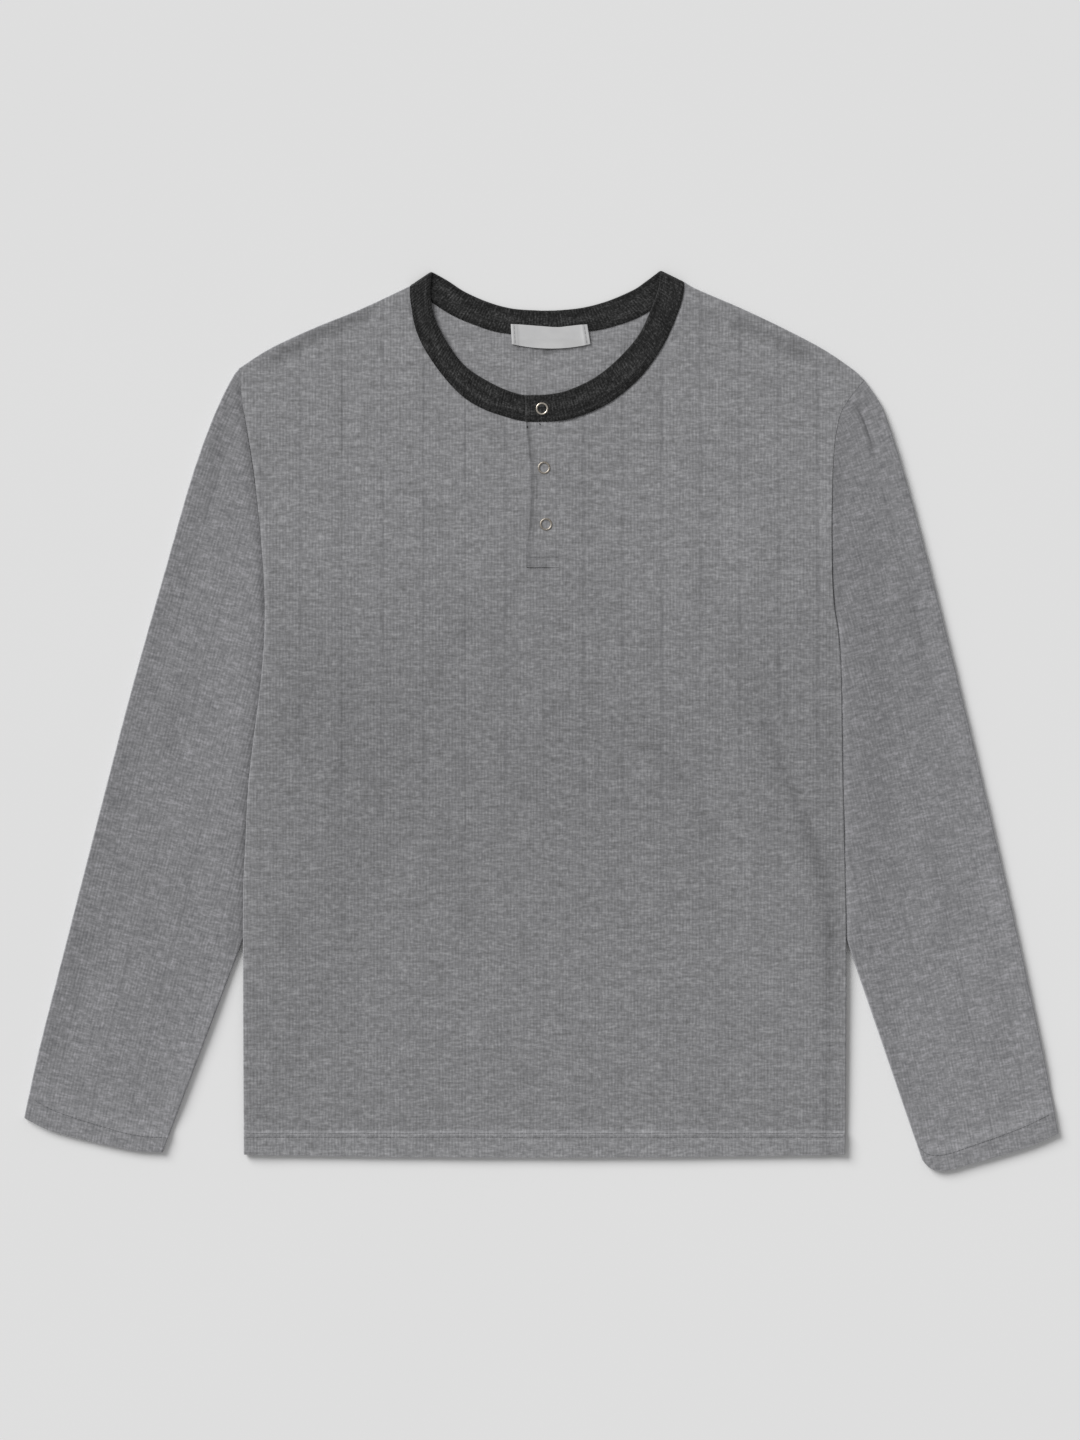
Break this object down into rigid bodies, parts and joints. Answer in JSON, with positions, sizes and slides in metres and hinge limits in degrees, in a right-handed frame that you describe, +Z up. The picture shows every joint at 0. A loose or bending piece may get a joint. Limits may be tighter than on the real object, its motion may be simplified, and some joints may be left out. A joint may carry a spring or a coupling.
{
  "type": "henley shirt",
  "caption": "Long-sleeved henley shirt of fine rib jersey, laid flat, with a dark ribbed neckband, a snap placket, hemmed cuffs and a blank neck label.",
  "frame": {"origin": "middle of the laid shirt, on the surface that its back lies on", "axes": "+X to the wearer's left, +Y from hem to collar, +Z up off the surface, out of the shirt's front"},
  "size_m": [0.8268, 0.719, 0.008],
  "materials": {
    "rib_jersey": "heather grey fine rib jersey with dropped-needle lines, matt and slightly hairy",
    "neck_rib": "charcoal rib knit, folded double, matt",
    "snap_metal": "satin nickel-plated brass ring, slightly warm",
    "label_weave": "pale grey woven label tape, blank, faint satin"
  },
  "bodies": {
    "root": {"front": "rib_jersey", "back": "rib_jersey", "sleeve_left": "rib_jersey", "sleeve_right": "rib_jersey", "placket_upper": "rib_jersey", "placket_under": "rib_jersey", "neckband": "neck_rib", "snap_1": "snap_metal", "snap_2": "snap_metal", "snap_3": "snap_metal", "label": "label_weave"}
  },
  "joints": []
}
